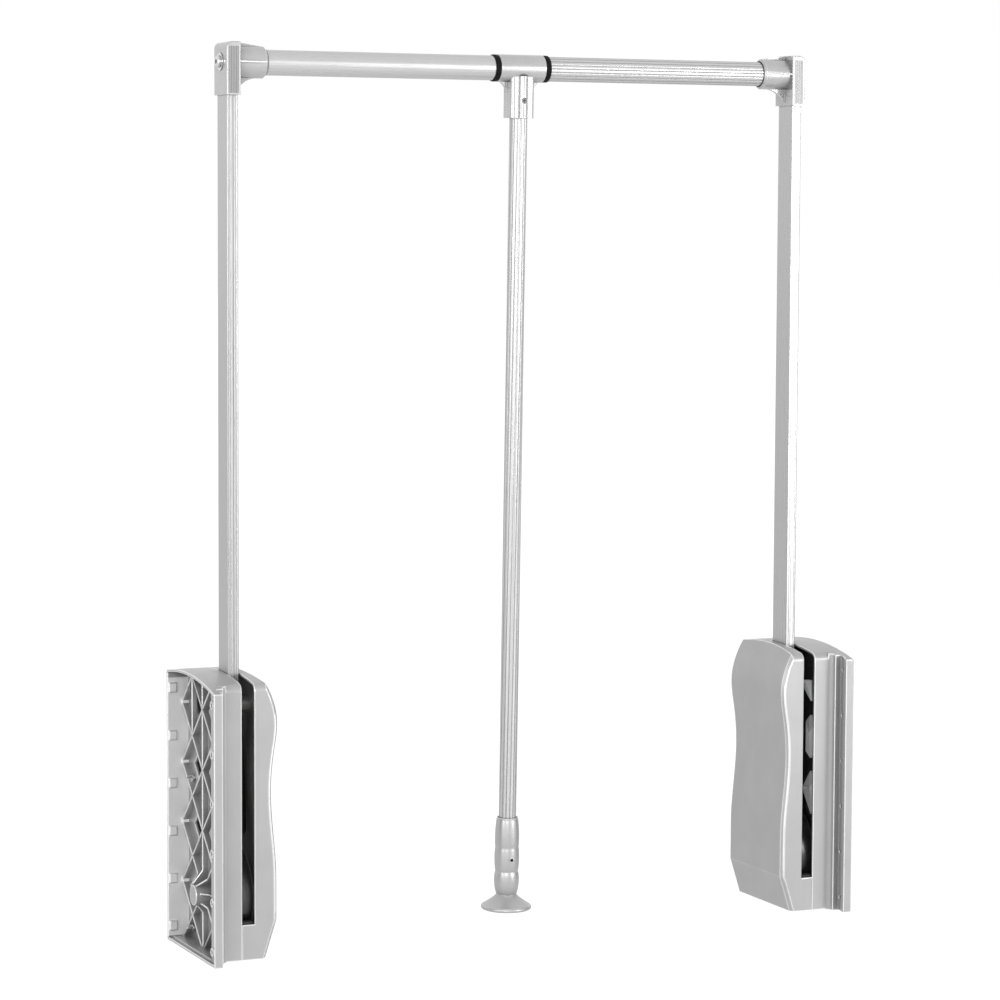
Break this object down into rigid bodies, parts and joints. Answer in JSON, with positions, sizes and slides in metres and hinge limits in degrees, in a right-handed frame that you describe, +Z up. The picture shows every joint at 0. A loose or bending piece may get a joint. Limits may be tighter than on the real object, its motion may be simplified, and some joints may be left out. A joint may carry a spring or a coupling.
{
  "type": "pull down closet rod",
  "caption": "Hanging rail on two sprung swing arms that turn in side housings, drawn down and forward by a handle hung from the rail's middle.",
  "frame": {"origin": "midway between the two closet sides and the front and rear edges of the housings, level with the housings' foot", "axes": "+X along the rail to the right, -Y out of the closet toward the user, +Z up"},
  "size_m": [0.7, 0.145, 0.889],
  "materials": {
    "housing_silver": "satin silver grey, moulded",
    "bracket_silver": "satin silver grey, moulded",
    "tee_silver": "satin silver grey, moulded",
    "grip_silver": "glossy silver grey, moulded",
    "arm_silver": "silver, satin",
    "rail_silver": "silver, satin, fine lengthwise flutes",
    "inner_rail_silver": "silver, satin",
    "pull_rod_silver": "silver, satin, fine flutes",
    "screw_silver": "plain, satin",
    "steel": "plain, satin",
    "strut_rod_steel": "ground and polished",
    "strut_black": "black, satin",
    "black_plastic": "black, moulded",
    "bush_plastic": "natural white, moulded",
    "rubber": "black, matt"
  },
  "bodies": {
    "left_housing": {"left_housing_base": "housing_silver", "left_housing_cover": "housing_silver", "left_case_screws": "steel", "left_liner_plate": "black_plastic", "left_rear_stop": "rubber", "left_front_bumper": "rubber", "left_pivot_axle": "steel", "left_strut_anchor_pin": "steel"},
    "left_frame": {"left_pivot_bushes": "bush_plastic", "left_arm_hub": "black_plastic", "left_arm_rivets": "steel", "left_arm_tube": "arm_silver", "left_lever_pin": "steel", "left_corner_bracket": "bracket_silver", "left_rail_cap_screw": "screw_silver", "left_rail_plug": "black_plastic", "left_rail_tube": "rail_silver", "left_rail_ring": "black_plastic"},
    "left_strut_cylinder_body": {"left_strut_cylinder": "strut_black"},
    "left_strut_rod_body": {"left_strut_rod": "strut_rod_steel"},
    "rail_middle": {"inner_rail_tube": "inner_rail_silver", "inner_rail_sliders": "bush_plastic"},
    "handle": {"tee_front": "tee_silver", "tee_rear": "tee_silver", "tee_screw": "steel", "pull_rod": "pull_rod_silver", "handle_grip": "grip_silver", "grip_screw": "steel"},
    "right_frame": {"right_pivot_bushes": "bush_plastic", "right_arm_hub": "black_plastic", "right_arm_rivets": "steel", "right_arm_tube": "arm_silver", "right_lever_pin": "steel", "right_corner_bracket": "bracket_silver", "right_rail_cap_screw": "screw_silver", "right_rail_plug": "black_plastic", "right_rail_tube": "rail_silver", "right_rail_ring": "black_plastic"},
    "right_housing": {"right_housing_base": "housing_silver", "right_housing_cover": "housing_silver", "right_case_screws": "steel", "right_liner_plate": "black_plastic", "right_rear_stop": "rubber", "right_front_bumper": "rubber", "right_pivot_axle": "steel", "right_strut_anchor_pin": "steel"},
    "right_strut_cylinder_body": {"right_strut_cylinder": "strut_black"},
    "right_strut_rod_body": {"right_strut_rod": "strut_rod_steel"}
  },
  "joints": [
    {"name": "arm_swing", "type": "hinge", "parent": "left_housing", "child": "left_frame", "pos_m": [-0.3085, 0.004, 0.057], "axis": [1, 0, 0], "range_deg": [0, 95], "stiffness_Nm_per_rad": 6.6, "springref_deg": -26.04},
    {"name": "left_rail_slide", "type": "slide", "parent": "left_frame", "child": "rail_middle", "axis": [1, 0, 0], "range_m": [0, 0.115]},
    {"name": "right_rail_slide", "type": "slide", "parent": "rail_middle", "child": "right_frame", "axis": [1, 0, 0], "range_m": [0, 0.115]},
    {"name": "right_housing_level", "type": "hinge", "parent": "right_frame", "child": "right_housing", "pos_m": [0.3085, 0.004, 0.057], "axis": [1, 0, 0], "range_deg": [-95, 0]},
    {"name": "handle_swing", "type": "hinge", "parent": "rail_middle", "child": "handle", "pos_m": [0, 0.004, 0.87], "axis": [1, 0, 0], "continuous": true},
    {"name": "left_strut_swing", "type": "hinge", "parent": "left_housing", "child": "left_strut_cylinder_body", "pos_m": [-0.2942, 0.028, 0.24], "axis": [1, 0, 0], "range_deg": [0, 4.3]},
    {"name": "left_strut_stroke", "type": "slide", "parent": "left_strut_cylinder_body", "child": "left_strut_rod_body", "axis": [0, 0.0961, 0.9954], "range_m": [0, 0.0228]},
    {"name": "right_strut_swing", "type": "hinge", "parent": "right_housing", "child": "right_strut_cylinder_body", "pos_m": [0.2942, 0.028, 0.24], "axis": [1, 0, 0], "range_deg": [0, 4.3]},
    {"name": "right_strut_stroke", "type": "slide", "parent": "right_strut_cylinder_body", "child": "right_strut_rod_body", "axis": [0, 0.0961, 0.9954], "range_m": [0, 0.0228]}
  ],
  "couplings": [
    {"joint": "right_housing_level", "follows": "arm_swing", "ratio": -1},
    {"joint": "left_strut_swing", "follows": "arm_swing", "ratio": 0.045},
    {"joint": "left_strut_stroke", "follows": "arm_swing", "m_per_rad": 0.0137},
    {"joint": "right_strut_swing", "follows": "arm_swing", "ratio": 0.045},
    {"joint": "right_strut_stroke", "follows": "arm_swing", "m_per_rad": 0.0137}
  ]
}
